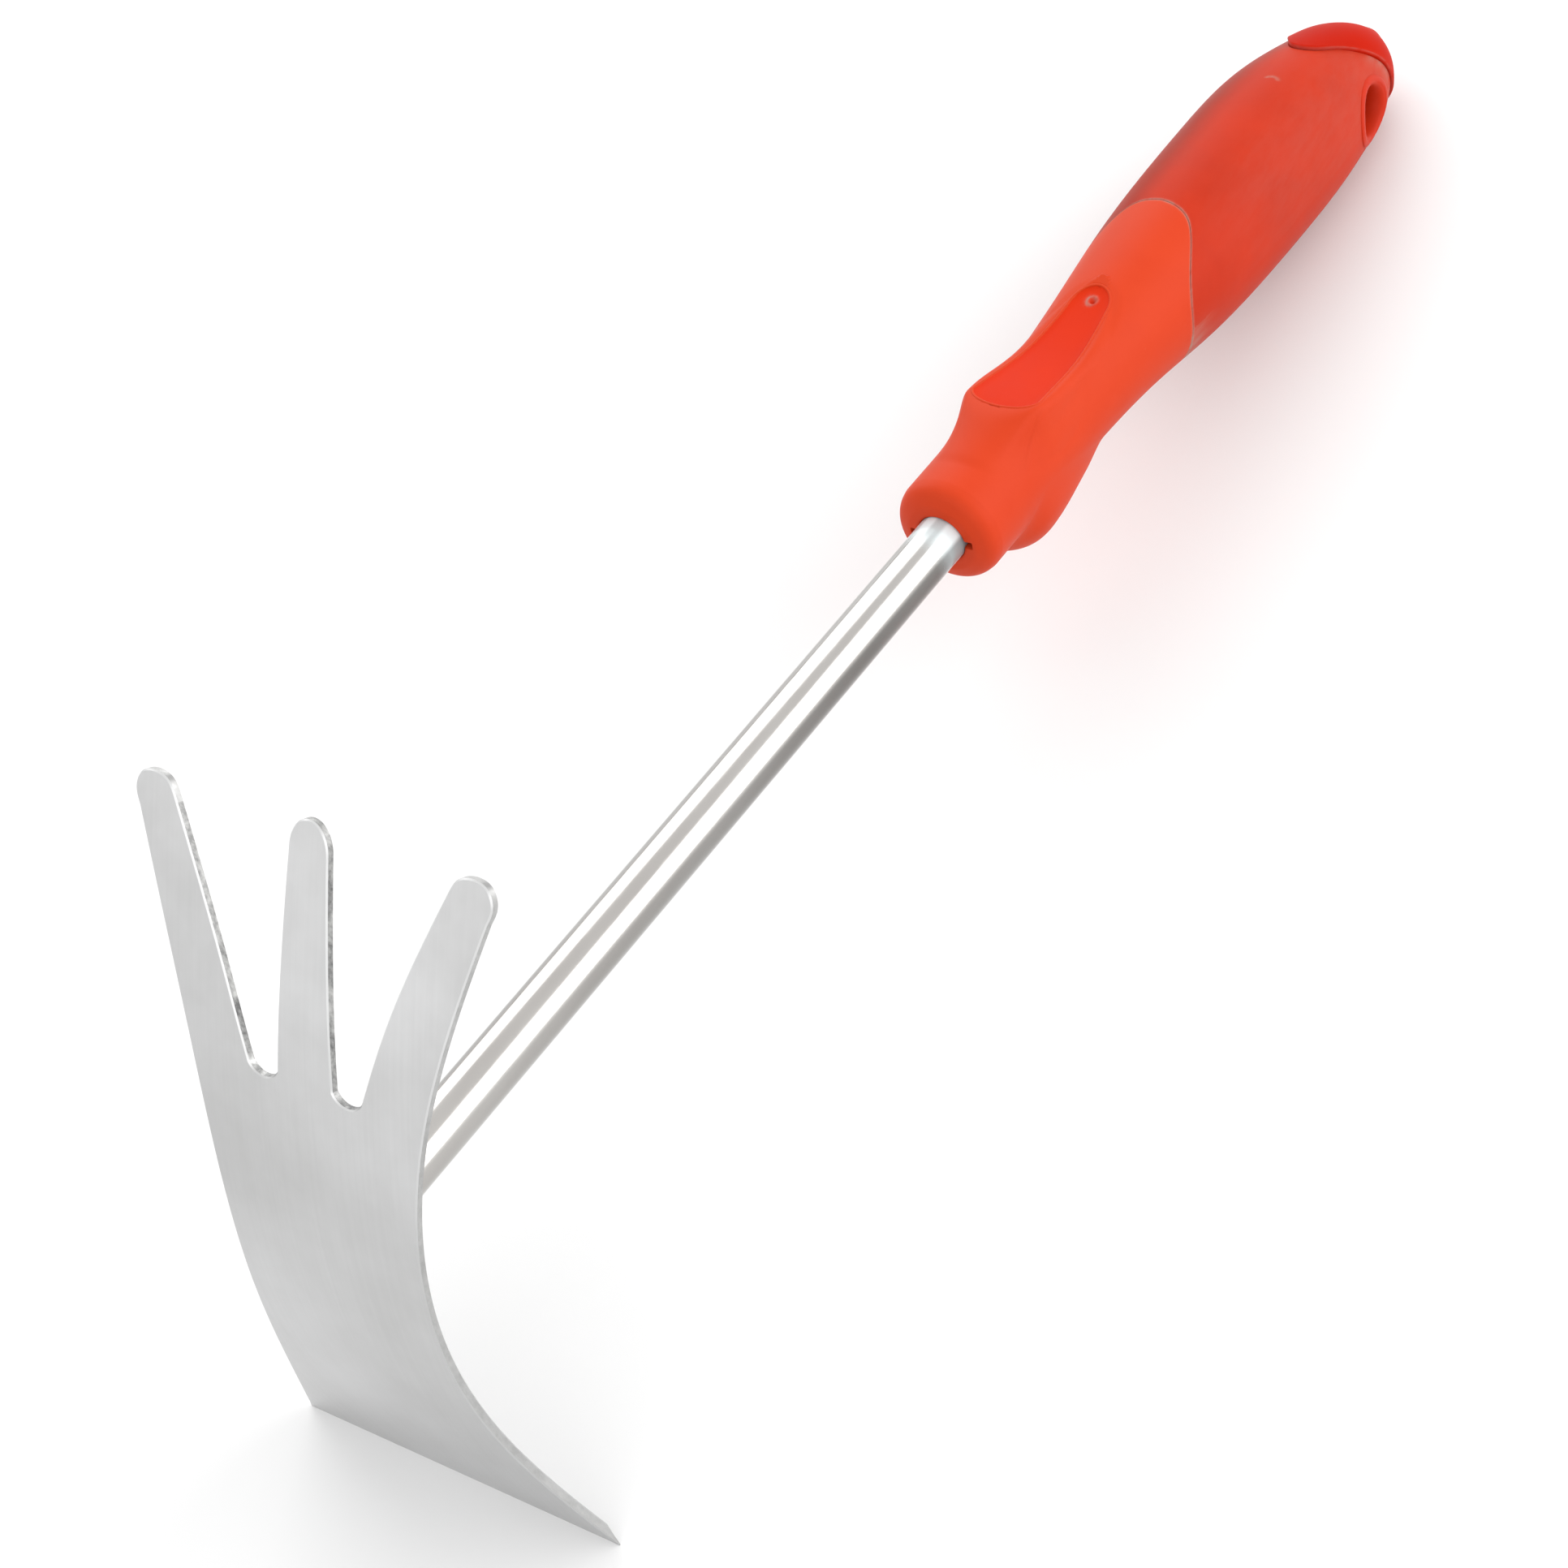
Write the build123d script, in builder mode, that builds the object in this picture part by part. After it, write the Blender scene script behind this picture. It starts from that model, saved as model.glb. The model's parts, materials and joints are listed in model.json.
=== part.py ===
"""Hand cultivator: three tines and a hoe blade on one bent plate, a tube shaft and a two-tone moulded handle.

The tool is drawn in its own straight frame, in millimetres: X runs along the shaft from the head to the butt,
and Z points the way the tines do. At the end the finished tool is laid down on its hoe edge and the underside
of its grip, with the origin at the bottom centre of its box.
"""
from build123d import *

import os

os.makedirs("parts", exist_ok=True)

# ---- head plate -------------------------------------------------------------------------------------------
PLATE_T = 2.0            # sheet thickness
BLADE_Z = -81.0          # level of the hoe's cutting edge
BLADE_HALF_W = 41.8      # half width of the cutting edge
WAIST_HALF_W = 24.8      # half width where the plate is narrowest, beside the shaft
BEVEL = 5.0              # length of the ground bevel behind the cutting edge
EDGE_LAND = 0.3          # thickness left at the cutting edge
# side view of the plate's front face (X, Z), from the cutting edge up to past the tine tips
FACE = [(-222.6, BLADE_Z), (-231.0, -45.0), (-233.3, -15.0), (-228.9, 16.0), (-216.8, 50.0), (-197.0, 89.0)]
# front view (Y, Z) of one half of the outline
SIDE_EDGE = [(BLADE_HALF_W, BLADE_Z), (30.0, -47.0), (WAIST_HALF_W, -3.0), (29.8, 42.0), (42.3, 80.5)]
OUTER_TIP = [SIDE_EDGE[-1], (43.4, 83.6), (42.2, 86.4), (38.6, 87.5), (34.8, 86.3), (33.1, 83.9)]
NOTCH_OUTER = [OUTER_TIP[-1], (20.6, 58.0), (14.1, 40.2)]
NOTCH_BOTTOM = (10.5, 38.2)
NOTCH_INNER = (6.9, 40.2)
MIDDLE_TIP_Z = 82.5      # where the middle tine's sides end and its rounded tip begins
MIDDLE_TIP_HALF_W = 4.8
MIDDLE_TIP_RISE = 5.6

# ---- shaft ------------------------------------------------------------------------------------------------
TUBE_R = 6.0             # outer radius of the tube
TUBE_WALL = 1.2
TUBE_START_X = -240.0    # ahead of the plate, so that the cope cuts all of its end
TUBE_END_X = 84.0        # how far the tube reaches into the handle
LUG_FRONT_X = 9.0        # two lugs pressed out of the tube, one each side, that key it in the handle
LUG_LENGTH = 14.0
LUG_REACH = 2.2
LUG_T = 1.8
WELD_LEG = 3.6

# ---- handle -----------------------------------------------------------------------------------------------
COLLAR_X = -1.8          # the handle's front face
COLLAR_R = 13.3
COLLAR_ROUND = 4.8       # rounding of the collar's front rim
# the handle's round body: X, radius, and how far its middle stands above the shaft's
BODY = [
    (COLLAR_X + COLLAR_ROUND, COLLAR_R, 0), (20.0, 13.3, 0), (36.0, 13.4, 0.2), (56.0, 14.2, 0.85),
    (76.0, 15.8, 1.3), (99.0, 18.4, 1.05), (120.0, 19.7, 1.0), (143.0, 20.1, 1.1), (165.0, 19.6, 0.9),
    (176.0, 18.4, 0.2), (188.0, 16.4, -0.9), (198.0, 13.5, -1.2), (206.0, 9.2, -1.1), (211.5, 4.8, -0.8),
    (214.5, 1.5, -0.6),
]
CORE_FRONT_X = 6.0
CORE_R = 9.6             # the core's radius under the front grip
CORE_BELLY_R = 16.6      # and under the gel
CORE_END = (200.0, 7.6)
SEAM_X = 86.8            # where the front grip ends at the sides and below
# top view (X, Y) of half the tongue that the front grip sends back over the gel
TONGUE = [(107.3, 0.0), (105.8, 6.2), (99.5, 11.1), (92.0, 14.6), (SEAM_X, 19.5)]
MOUTH_R = 6.15           # clearance round the tube in the collar's mouth
KEYWAY_HALF_H = 1.0
KEYWAY_REACH = 8.4

# thumb ramp on top of the front grip: the slope up to its ridge and the dish behind it, in side view (X, Z),
# and half of its outline in plan (X, Y)
RAMP_FOOT = (9.0, 12.5)
DISH = [
    (27.0, 17.1), (36.0, 15.6), (45.0, 14.0), (53.0, 13.15),
    (60.0, 13.4), (68.0, 14.5), (75.0, 16.4), (79.0, 18.2),
]
RAMP_NOSE = [(12.0, 0.0), (13.6, 4.6), (18.0, 8.2), (25.0, 10.3)]
RAMP_FLANK = [(25.0, 10.3), (36.0, 10.7), (47.0, 10.0), (57.0, 8.9), (66.0, 7.4)]
PAD_T = 1.8
PAD_FRONT_X = 27.8
PAD_BACK_X = 76.0
PAD_SIDE_X = 32.0        # its straight sides run from here
PAD_SIDE_END_X = 70.0
PAD_FRONT_HALF_W = 8.9
PAD_BACK_HALF_W = 5.2

# finger guard below the front grip: round about an axis that lies GUARD_DROP below the shaft's
GUARD_DROP = 7.5
GUARD = [
    (10.5, 0), (13.0, 6.6), (17.0, 10.6), (22.0, 12.9), (28.0, 13.2),
    (34.0, 12.6), (42.0, 11.4), (50.0, 9.9), (58.0, 6.9),
]

# end cap on top of the butt: the curve of its front border, in side view (X, Z)
CAP_BORDER = [
    (171.0, 22.5), (177.6, 18.4), (184.7, 15.0), (191.9, 9.7), (196.6, 4.0), (199.0, -4.0), (201.0, -20.0),
]

# hang hole across the butt
HOLE_X = 182.2
HOLE_R = 5.0
RING_HALF_LENGTH = 10.5
RING_HALF_HEIGHT = 8.4
FLARE_START_Y = 11.0     # the round bore opens out from here to the oval mouth
FLARE_HALF_LENGTH = 8.6
FLARE_HALF_HEIGHT = 6.8
RING_END_Y = 21.0

WIDE = 60.0              # more than the tool's half width


def behind(curve, share):
    """The point one sheet thickness behind a side-view curve, at a share of its length."""
    along = curve % share
    return curve @ share + Vector(along.Y, -along.X) * PLATE_T


# ---- spaces that several pieces are cut by ----------------------------------------------------------------
with BuildPart() as plate_band:            # the bent sheet, before its outline is cut
    with BuildSketch(Plane.XZ):
        with BuildLine():
            face = Spline(*FACE)
            rear = Spline(*[behind(face, step / 8) for step in range(9)])
            Line(face @ 0, rear @ 0)
            Line(face @ 1, rear @ 1)
        make_face()
    extrude(amount=WIDE, both=True)

with BuildPart() as ahead_of_plate:        # everything in front of the plate's front face
    with BuildSketch(Plane.XZ):
        with BuildLine():
            face = Spline(*FACE)
            Polyline(face @ 0, (-280, FACE[0][1]), (-280, FACE[-1][1]), face @ 1)
        make_face()
    extrude(amount=WIDE, both=True)

with BuildPart() as round_body:            # the handle without its ramp and guard
    for x, radius, rise in BODY:
        with BuildSketch(Plane.YZ.offset(x)):
            with Locations((0, rise)):
                Circle(radius)
    loft()
    with BuildSketch(Plane.XZ):            # the collar's front face and rounded rim
        with BuildLine():
            rim = (COLLAR_X, COLLAR_R - COLLAR_ROUND)
            Polyline((BODY[0][0], COLLAR_R), (BODY[0][0], 0), (COLLAR_X, 0), rim)
            RadiusArc(rim, (BODY[0][0], COLLAR_R), COLLAR_ROUND)
        make_face()
    revolve(axis=Axis.X)

with BuildPart() as front_space:           # the front grip's share of the handle, tongue included
    with BuildSketch(Plane.XY.offset(-WIDE)):
        with Locations((SEAM_X / 2 - 20, 0)):
            Rectangle(SEAM_X + 40, 2 * WIDE)
    extrude(amount=2 * WIDE)
    with BuildSketch(Plane.XY):
        with BuildLine():
            Spline(*TONGUE, tangents=[(0, 1), (-1, 1)])
            Polyline(TONGUE[-1], (SEAM_X - 5, TONGUE[-1][1]), (SEAM_X - 5, 0), TONGUE[0])
        make_face()
        mirror(about=Plane.XZ)
    extrude(amount=WIDE)

with BuildPart() as cap_space:             # the end cap's share of the handle
    with BuildSketch(Plane.XZ):
        with BuildLine():
            Spline(*CAP_BORDER)
            Polyline(CAP_BORDER[-1], (230, CAP_BORDER[-1][1]), (230, CAP_BORDER[0][1]), CAP_BORDER[0])
        make_face()
    extrude(amount=WIDE, both=True)

with BuildPart() as core_space:            # the core before its bore and hang hole are cut
    with BuildSketch(Plane.XZ):
        with BuildLine():
            Polyline((CORE_FRONT_X, 0), (CORE_FRONT_X, CORE_R), (SEAM_X - 12, CORE_R))
            Spline((SEAM_X - 12, CORE_R), (104, 15.0), (143, CORE_BELLY_R), (178, 14.2), CORE_END,
                   tangents=[(1, 0), (1, -1)])
            Polyline(CORE_END, (CORE_END[0], 0), (CORE_FRONT_X, 0))
        make_face()
    revolve(axis=Axis.X)

with BuildPart() as tube_space:            # the tube and its lugs, solid, as the mouldings close round them
    with BuildSketch(Plane.YZ.offset(TUBE_START_X)):
        Circle(TUBE_R)
    extrude(amount=TUBE_END_X - TUBE_START_X)
    with BuildSketch(Plane.YZ.offset(LUG_FRONT_X)):
        Rectangle(2 * (TUBE_R + LUG_REACH), LUG_T)
    extrude(amount=LUG_LENGTH)

with BuildPart() as ring_space:            # the oval block that the hang ring is cut from
    with BuildSketch(Plane.XZ):
        with Locations((HOLE_X, 0)):
            Ellipse(RING_HALF_LENGTH, RING_HALF_HEIGHT)
    extrude(amount=RING_END_Y, both=True)

with BuildPart() as pad_space:             # the pocket that the thumb pad fills
    with BuildSketch(Plane.XZ):
        with BuildLine():
            top = Spline(*DISH)
            bottom = Spline(*[(x, z - PAD_T) for x, z in DISH])
            Line(top @ 0, bottom @ 0)
            Line(top @ 1, bottom @ 1)
        make_face()
    extrude(amount=WIDE, both=True)
    with BuildSketch(Plane.XY):
        with BuildLine():
            front_end = (PAD_SIDE_X, PAD_FRONT_HALF_W)
            back_end = (PAD_SIDE_END_X, PAD_BACK_HALF_W)
            ThreePointArc((PAD_FRONT_X, 0), (PAD_FRONT_X + 0.9, 0.6 * PAD_FRONT_HALF_W), front_end)
            Line(front_end, back_end)
            ThreePointArc(back_end, (PAD_BACK_X - 1.2, 0.6 * PAD_BACK_HALF_W), (PAD_BACK_X, 0))
            Line((PAD_BACK_X, 0), (PAD_FRONT_X, 0))
        make_face()
        mirror(about=Plane.XZ)
    extrude(amount=WIDE, mode=Mode.INTERSECT)

# ---- head plate -------------------------------------------------------------------------------------------
with BuildPart() as head_plate:
    add(plate_band.part)
    with BuildSketch(Plane.YZ.offset(-250)):
        with BuildLine():
            Polyline((0, BLADE_Z - 1), (BLADE_HALF_W, BLADE_Z - 1), SIDE_EDGE[0])
            Spline(*SIDE_EDGE)
            Spline(*OUTER_TIP)
            Spline(*NOTCH_OUTER)
            ThreePointArc(NOTCH_OUTER[-1], NOTCH_BOTTOM, NOTCH_INNER)
            Line(NOTCH_INNER, (MIDDLE_TIP_HALF_W, MIDDLE_TIP_Z))
            EllipticalCenterArc((0, MIDDLE_TIP_Z), MIDDLE_TIP_HALF_W, MIDDLE_TIP_RISE, 0, arc_size=90)
            Line((0, MIDDLE_TIP_Z + MIDDLE_TIP_RISE), (0, BLADE_Z - 1))
        make_face()
        mirror(about=Plane.YZ)
    extrude(amount=80, mode=Mode.INTERSECT)
    with BuildSketch(Plane.XZ):            # the ground bevel, taken off the back
        with BuildLine():
            up = face % 0
            back = Vector(up.Y, -up.X)
            land = face @ 0 + back * EDGE_LAND
            slope = back * (PLATE_T - EDGE_LAND) + up * BEVEL
            outside = land + back * 2 * PLATE_T - up * BEVEL
            Polyline(land - slope * 0.2, land + slope * 1.3, outside, close=True)
        make_face()
    extrude(amount=WIDE, both=True, mode=Mode.SUBTRACT)

# ---- shaft ------------------------------------------------------------------------------------------------
with BuildPart() as shaft_tube:
    add(tube_space.part)
    with BuildSketch(Plane.YZ.offset(TUBE_START_X)):
        Circle(TUBE_R - TUBE_WALL)
    extrude(amount=TUBE_END_X - TUBE_START_X, mode=Mode.SUBTRACT)
    add(ahead_of_plate.part, mode=Mode.SUBTRACT)
    add(plate_band.part, mode=Mode.SUBTRACT)

with BuildPart() as weld_bead:             # a hollow-faced fillet in the corner of tube and plate
    with BuildSketch(Plane.XZ):
        with BuildLine():
            back_x = face.position_at(0.5).X + PLATE_T + 2
            on_tube = (back_x + WELD_LEG, TUBE_R)
            on_plate = (back_x - 0.6, TUBE_R + WELD_LEG)
            Polyline((TUBE_START_X, TUBE_R), on_tube)
            ThreePointArc(on_tube, (back_x + 0.8, TUBE_R + 0.9), on_plate)
            Polyline(on_plate, (TUBE_START_X, TUBE_R + WELD_LEG), (TUBE_START_X, TUBE_R))
        make_face()
    revolve(axis=Axis.X)
    add(ahead_of_plate.part, mode=Mode.SUBTRACT)
    add(plate_band.part, mode=Mode.SUBTRACT)

# ---- handle -----------------------------------------------------------------------------------------------
with BuildPart() as hang_ring:             # lines the hang hole from flank to flank
    add(ring_space.part)
    with BuildSketch(Plane.XZ):
        with Locations((HOLE_X, 0)):
            Circle(HOLE_R)
    extrude(amount=RING_END_Y, both=True, mode=Mode.SUBTRACT)
    for side in (1, -1):
        with BuildSketch(Plane.XZ.offset(side * FLARE_START_Y)):
            with Locations((HOLE_X, 0)):
                Circle(HOLE_R)
        with BuildSketch(Plane.XZ.offset(side * RING_END_Y)):
            with Locations((HOLE_X, 0)):
                Ellipse(FLARE_HALF_LENGTH, FLARE_HALF_HEIGHT)
        loft(mode=Mode.SUBTRACT)
    add(round_body.part, mode=Mode.INTERSECT)

with BuildPart() as handle_core:
    add(core_space.part)
    add(ring_space.part, mode=Mode.SUBTRACT)
    add(tube_space.part, mode=Mode.SUBTRACT)

with BuildPart() as front_grip:
    with BuildSketch(Plane.XZ):            # thumb ramp, cut to its plan next
        with BuildLine():
            ramp_top = Spline(*DISH)
            Polyline(ramp_top @ 1, (DISH[-1][0], 0), (RAMP_FOOT[0], 0), RAMP_FOOT, ramp_top @ 0)
        make_face()
    extrude(amount=WIDE, both=True)
    with BuildSketch(Plane.XY):
        with BuildLine():
            Spline(*RAMP_NOSE, tangents=[(0, 1), (1, 0.1)])
            Spline(*RAMP_FLANK, tangents=[(1, 0.1), (1, -0.2)])
            Polyline(RAMP_FLANK[-1], (RAMP_FLANK[-1][0], 0), RAMP_NOSE[0])
        make_face()
        mirror(about=Plane.XZ)
    extrude(amount=WIDE, mode=Mode.INTERSECT)
    add(round_body.part)
    with BuildSketch(Plane.XZ):            # dish over the ramp
        with BuildLine():
            dish = Spline(*DISH)
            Polyline(dish @ 1, (DISH[-1][0], WIDE), (DISH[0][0], WIDE), dish @ 0)
        make_face()
    extrude(amount=WIDE, both=True, mode=Mode.SUBTRACT)
    with BuildSketch(Plane((0, 0, -GUARD_DROP), x_dir=(1, 0, 0), z_dir=(0, -1, 0))):      # finger guard
        with BuildLine():
            Spline(*GUARD)
            Polyline(GUARD[-1], (GUARD[-1][0], 0), GUARD[0])
        make_face()
    revolve(axis=Axis((0, 0, -GUARD_DROP), (1, 0, 0)))
    add(front_space.part, mode=Mode.INTERSECT)
    add(core_space.part, mode=Mode.SUBTRACT)
    add(pad_space.part, mode=Mode.SUBTRACT)
    with BuildSketch(Plane.YZ.offset(COLLAR_X - 1)):
        Circle(MOUTH_R)
        Rectangle(2 * KEYWAY_REACH, 2 * KEYWAY_HALF_H)
    extrude(amount=CORE_FRONT_X - COLLAR_X + 1, mode=Mode.SUBTRACT)

with BuildPart() as thumb_pad:
    add(pad_space.part)

with BuildPart() as end_cap:
    add(round_body.part)
    add(cap_space.part, mode=Mode.INTERSECT)
    add(core_space.part, mode=Mode.SUBTRACT)
    add(ring_space.part, mode=Mode.SUBTRACT)

with BuildPart() as gel_grip:
    add(round_body.part)
    add(front_space.part, mode=Mode.SUBTRACT)
    add(cap_space.part, mode=Mode.SUBTRACT)
    add(core_space.part, mode=Mode.SUBTRACT)
    add(ring_space.part, mode=Mode.SUBTRACT)

# ---- laid down on the hoe edge and the grip ---------------------------------------------------------------
pieces = {
    "head_plate": head_plate, "weld_bead": weld_bead, "shaft_tube": shaft_tube, "handle_core": handle_core,
    "front_grip": front_grip, "thumb_pad": thumb_pad, "gel_grip": gel_grip, "end_cap": end_cap,
    "hang_ring": hang_ring,
}


def handle_over_blade(turn):
    """How far the handle's lowest point is above the cutting edge once the tool is turned about Y."""
    blade_level = Vector(FACE[0][0], 0, BLADE_Z).rotate(Axis.Y, turn).Z
    return round_body.part.rotate(Axis.Y, turn).bounding_box().min.Z - blade_level


low, high = 0.0, 20.0
for _ in range(24):                        # halve the range until both touch the same level
    middle = (low + high) / 2
    low, high = (middle, high) if handle_over_blade(middle) > 0 else (low, middle)
laid = Compound([piece.part for piece in pieces.values()]).rotate(Axis.Y, low).bounding_box()
shift = Location((-laid.center().X, 0, -laid.min.Z))
print(f"laid down by {low:.3f} degrees and moved by X {-laid.center().X:.4f}, Z {-laid.min.Z:.4f} mm")
print(f"box {laid.size.X:.1f} x {laid.size.Y:.1f} x {laid.size.Z:.1f} mm")

for name, piece in pieces.items():
    placed = piece.part.rotate(Axis.Y, low).moved(shift)
    placed.label = name
    export_step(placed, f"parts/{name}.step")
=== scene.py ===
"""Looks of the hand cultivator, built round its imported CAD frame.

Lengths are in millimetres in the tool's own straight frame until place() turns them into the frame's metres:
X runs along the shaft from the head to the butt, with X = 0 just behind the handle's front face, and Z points
up the tines.
"""

import json
import math

import bmesh
import bpy
import numpy as np
from mathutils import Matrix, Vector
from mathutils.geometry import delaunay_2d_cdt


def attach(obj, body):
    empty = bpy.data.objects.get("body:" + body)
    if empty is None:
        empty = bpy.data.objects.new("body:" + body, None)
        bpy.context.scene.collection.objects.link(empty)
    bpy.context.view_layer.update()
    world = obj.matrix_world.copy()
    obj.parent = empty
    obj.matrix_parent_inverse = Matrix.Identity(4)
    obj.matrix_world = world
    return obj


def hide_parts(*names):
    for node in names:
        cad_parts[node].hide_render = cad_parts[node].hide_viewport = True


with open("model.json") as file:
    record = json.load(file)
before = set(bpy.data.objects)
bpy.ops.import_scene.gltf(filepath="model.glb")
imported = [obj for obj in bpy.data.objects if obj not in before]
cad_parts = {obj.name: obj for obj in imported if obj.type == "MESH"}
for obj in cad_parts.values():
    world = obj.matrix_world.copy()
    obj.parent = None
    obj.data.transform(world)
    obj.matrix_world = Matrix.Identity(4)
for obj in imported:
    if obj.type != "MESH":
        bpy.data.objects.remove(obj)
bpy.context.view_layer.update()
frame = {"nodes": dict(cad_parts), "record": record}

MM = 0.001
TILT = math.radians(8.818)      # how far the tool is turned about Y to lie on its blade and its grip
HOLE_X = 182.2                  # the hang hole's place along the shaft

hang_hole = next(m for m in frame["record"]["mounts"] if m["name"] == "hang_hole")
TOOL = (Matrix.Translation(Vector(hang_hole["pos_m"])) @ Matrix.Rotation(TILT, 4, "Y")
        @ Matrix.Translation((-HOLE_X * MM, 0, 0)))


# ---- curves and meshes ------------------------------------------------------------------------------------
def place(points):
    """Tool-frame millimetres to frame metres."""
    turn = np.array(TOOL.to_3x3())
    return np.asarray(points, float).reshape(-1, 3) * MM @ turn.T + np.array(TOOL.translation)


def spline(points, count):
    """count points on a natural cubic spline through the given ones, spaced by chord length."""
    p = np.asarray(points, float)
    t = np.r_[0, np.cumsum(np.linalg.norm(np.diff(p, axis=0), axis=1))]
    h = np.diff(t)
    n = len(p)
    system = np.eye(n)
    pull = np.zeros_like(p)
    for i in range(1, n - 1):
        system[i, i - 1:i + 2] = h[i - 1], 2 * (h[i - 1] + h[i]), h[i]
        pull[i] = 6 * ((p[i + 1] - p[i]) / h[i] - (p[i] - p[i - 1]) / h[i - 1])
    bend = np.linalg.solve(system, pull)
    at = np.linspace(0, t[-1], count)
    i = np.clip(np.searchsorted(t, at, side="right") - 1, 0, n - 2)
    a, b = (t[i + 1] - at)[:, None], (at - t[i])[:, None]
    w = h[i][:, None]
    return (bend[i] * a ** 3 + bend[i + 1] * b ** 3) / (6 * w) + (
        (p[i] / w - bend[i] * w / 6) * a + (p[i + 1] / w - bend[i + 1] * w / 6) * b)


def arc(start, through, end, count):
    """count points on the circle arc from start through a point to end."""
    (ax, ay), (bx, by), (cx, cy) = start, through, end
    d = 2 * (ax * (by - cy) + bx * (cy - ay) + cx * (ay - by))
    a, b, c = ax * ax + ay * ay, bx * bx + by * by, cx * cx + cy * cy
    ux = (a * (by - cy) + b * (cy - ay) + c * (ay - by)) / d
    uy = (a * (cx - bx) + b * (ax - cx) + c * (bx - ax)) / d
    first, middle, last = (math.atan2(y - uy, x - ux) for x, y in (start, through, end))
    sweep, part = (last - first) % (2 * math.pi), (middle - first) % (2 * math.pi)
    if part > sweep:
        sweep -= 2 * math.pi
    angles = first + sweep * np.linspace(0, 1, count)
    radius = math.hypot(ax - ux, ay - uy)
    return np.c_[ux + radius * np.cos(angles), uy + radius * np.sin(angles)]


def smoothstep(low, high, value):
    """0 up to low and 1 from high on, or the other way round when low is the larger."""
    t = np.clip((value - low) / (high - low), 0, 1)
    return t * t * (3 - 2 * t)


def blend_max(a, b, width):
    """The larger of two fields, rounded over where they are within width of each other."""
    h = np.clip(width - np.abs(a - b), 0, None) / width
    return np.maximum(a, b) + h * h * width / 4


def blend_min(a, b, width):
    """The smaller of two fields, rounded in the same way."""
    return -blend_max(-a, -b, width)


def face_outwards(mesh):
    """Turns every face's normal to the outside."""
    work = bmesh.new()
    work.from_mesh(mesh)
    bmesh.ops.recalc_face_normals(work, faces=work.faces)
    work.to_mesh(mesh)
    work.free()
    mesh.update()


def piece_from(name, points, faces, material, replaces=(), face_materials=None):
    """A smooth-shaded mesh in the frame, riding on the tool's one body."""
    mesh = bpy.data.meshes.new(name)
    mesh.from_pydata(place(points).tolist(), [], [tuple(int(i) for i in f) for f in faces])
    face_outwards(mesh)
    mesh.shade_smooth()
    piece = bpy.data.objects.new(name, mesh)
    bpy.context.scene.collection.objects.link(piece)
    for one in ([material] if face_materials is None else material):
        mesh.materials.append(one)
    if face_materials is not None:
        mesh.polygons.foreach_set("material_index", np.asarray(face_materials, np.int32))
    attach(piece, "root")
    if replaces:
        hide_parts(*replaces)
    return piece


def ring_faces(rows, columns, closed=False):
    """Quads over a grid of rows that close on themselves, and from the last row to the first if closed."""
    faces = []
    for i in range(rows if closed else rows - 1):
        for j in range(columns):
            k, l = (i + 1) % rows, (j + 1) % columns
            faces.append((i * columns + j, i * columns + l, k * columns + l, k * columns + j))
    return faces


def sharpen(piece, degrees_over):
    """Marks the edges where the surface turns by more than an angle, so that smooth shading stops there."""
    piece.data.set_sharp_from_angle(angle=math.radians(degrees_over))


def tool_points(piece):
    """A piece's points, back in the tool's own frame in millimetres."""
    points = np.empty(3 * len(piece.data.vertices))
    piece.data.vertices.foreach_get("co", points)
    turn = np.array(TOOL.to_3x3())
    return (points.reshape(-1, 3) - np.array(TOOL.translation)) @ turn / MM


def store(piece, name, amount):
    """Gives each point a value between 0 and 1, from a function of X and the angle round the shaft's line."""
    x, y, z = tool_points(piece).T
    layer = piece.data.attributes.new(name, "FLOAT", "POINT")
    layer.data.foreach_set("value", np.clip(amount(x, np.arctan2(z, y)), 0, 1).astype(np.float32))


# ---- materials --------------------------------------------------------------------------------------------
DUST = (0.34, 0.24, 0.20)
# painted reflection: near-black that darkens bands of the tube in place of dark reflections
PAINTED_REFLECTION_DARK = (0.02, 0.02, 0.018)
PAINTED_TUBE_REFLECTION = (0.64, 0.71, 0.72)  # painted reflection: the pale colour of the tube's end beside the handle
# painted shade: the colour the gel's far shoulder is darkened towards
GEL_PAINTED_SHADE = (0.05, 0.006, 0.004)
TOOL_TURN = (0, -TILT, 0)       # turns frame coordinates into the tool's directions


def new_material(name):
    """The material, its nodes, links and shader, and the socket with the place in the frame."""
    material = bpy.data.materials.new(name)
    material.use_nodes = True
    nodes, links = material.node_tree.nodes, material.node_tree.links
    shader = nodes["Principled BSDF"]
    place_node = nodes.new("ShaderNodeTexCoord")
    return material, nodes, links, shader, place_node.outputs["Object"]


def scaled(nodes, links, source, scale):
    """Places stretched along the tool's own directions."""
    mapping = nodes.new("ShaderNodeMapping")
    mapping.inputs["Scale"].default_value = scale
    mapping.inputs["Rotation"].default_value = TOOL_TURN
    links.new(source, mapping.inputs["Vector"])
    return mapping.outputs["Vector"]


def noise(nodes, links, source, scale, detail=4.0, roughness=0.5):
    node = nodes.new("ShaderNodeTexNoise")
    node.inputs["Scale"].default_value = scale
    node.inputs["Detail"].default_value = detail
    node.inputs["Roughness"].default_value = roughness
    links.new(source, node.inputs["Vector"])
    return node.outputs["Fac"]


def ramp(nodes, links, source, stops):
    node = nodes.new("ShaderNodeValToRGB")
    elements = node.color_ramp.elements
    while len(elements) < len(stops):
        elements.new(0.5)
    for element, (position, colour) in zip(elements, stops):
        element.position = position
        element.color = (*colour, 1)
    links.new(source, node.inputs["Fac"])
    return node.outputs["Color"]


def grey_ramp(nodes, links, source, stops):
    return ramp(nodes, links, source, [(position, (value,) * 3) for position, value in stops])


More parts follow.
